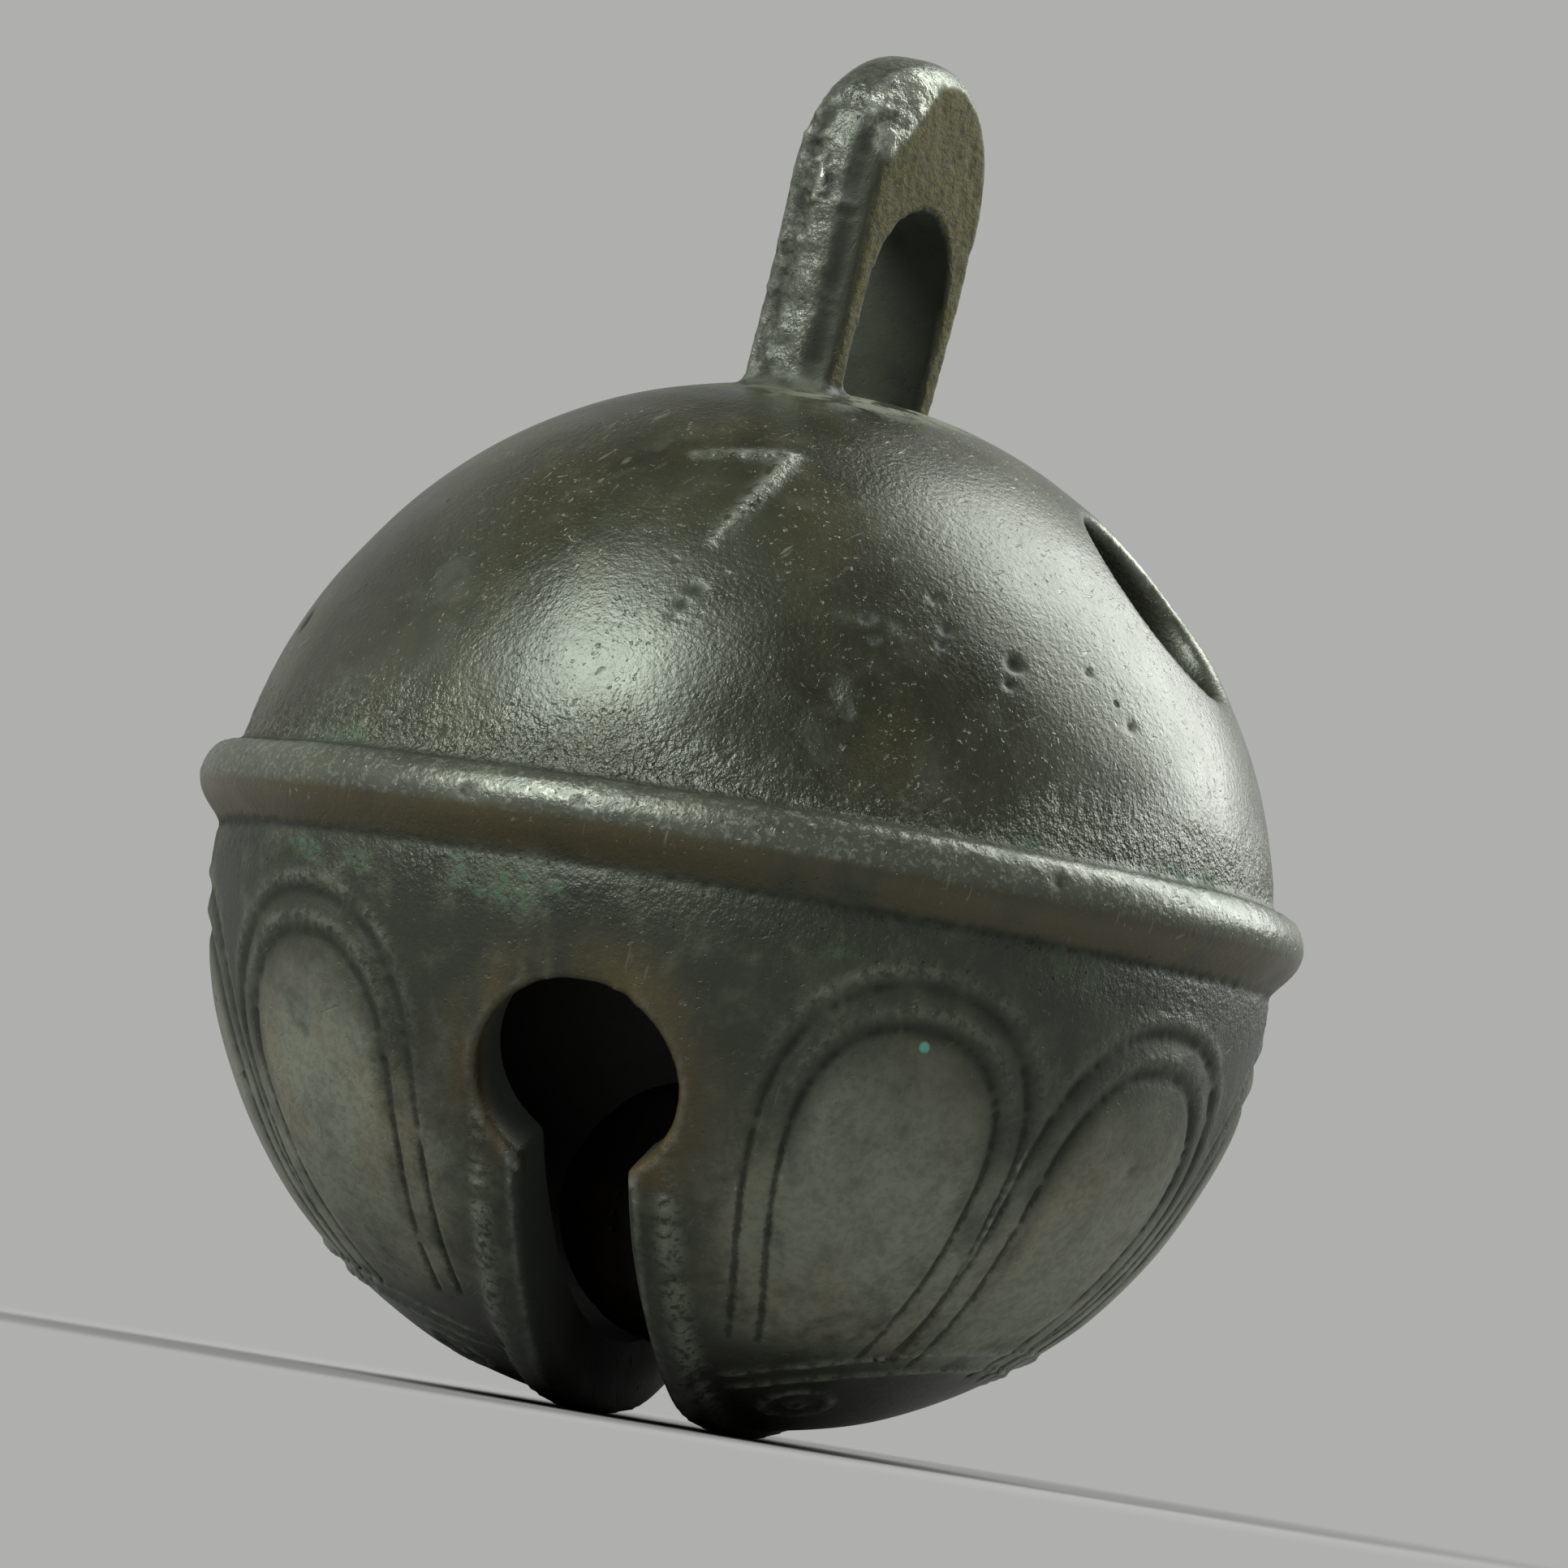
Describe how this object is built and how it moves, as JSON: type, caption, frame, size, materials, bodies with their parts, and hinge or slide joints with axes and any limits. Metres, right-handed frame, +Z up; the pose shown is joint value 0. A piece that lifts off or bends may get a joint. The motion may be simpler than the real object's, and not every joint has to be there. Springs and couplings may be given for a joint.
{
  "type": "crotal bell",
  "caption": "Closed ball-shaped jingle bell cast in bronze, with a slotted mouth, sound holes, a hanging loop and a loose iron pea that rolls inside and rings it.",
  "frame": {"origin": "top of the eye in the hanging loop, where the cord or strap bears, on the bell's axis", "axes": "+Z up along the bell's axis, towards the loop; the mouth slot runs along Y with its keyhole ends facing -Y and +Y; the two sound holes face -X and +X"},
  "size_m": [0.042, 0.042, 0.0521],
  "materials": {
    "bronze": "dark aged patina, softly polished by handling",
    "iron": "rusted, rubbed smooth by rolling"
  },
  "bodies": {
    "bell": {"bell_casting": "bronze"},
    "pea": {"pea": "iron"}
  },
  "joints": [
    {"name": "pea_roll", "type": "hinge", "parent": "bell", "child": "pea", "pos_m": [0, 0, -0.02675], "axis": [-1, 0, 0], "continuous": true}
  ]
}
